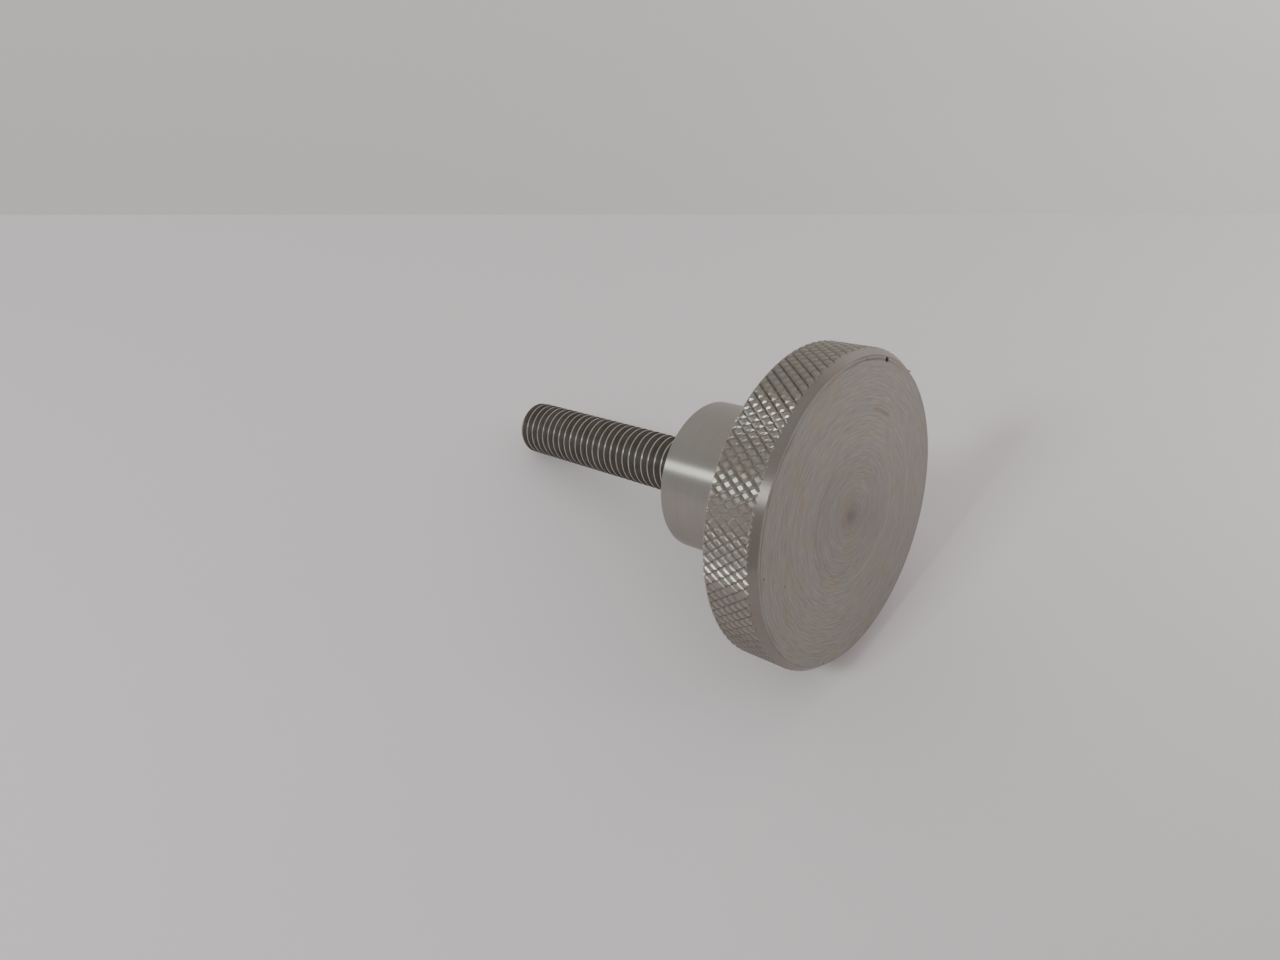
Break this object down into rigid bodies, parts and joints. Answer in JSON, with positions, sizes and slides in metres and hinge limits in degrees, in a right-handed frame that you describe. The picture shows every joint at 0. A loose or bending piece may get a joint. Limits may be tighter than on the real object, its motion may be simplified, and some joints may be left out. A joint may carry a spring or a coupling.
{
  "type": "knurled thumb screw",
  "caption": "Round flat knob with a diamond-knurled rim, a plain hub and a threaded stud, for clamping or adjusting by hand.",
  "frame": {"origin": "centre of the head's flat face, on the surface that it stands on", "axes": "+Z along the screw's axis, from the flat face of the head to the tip of the stud"},
  "size_m": [0.05, 0.05, 0.0715],
  "materials": {
    "turned_steel": "turned stainless steel, satin, with fine tool marks"
  },
  "bodies": {
    "root": {"thumb_screw": "turned_steel"}
  },
  "joints": []
}
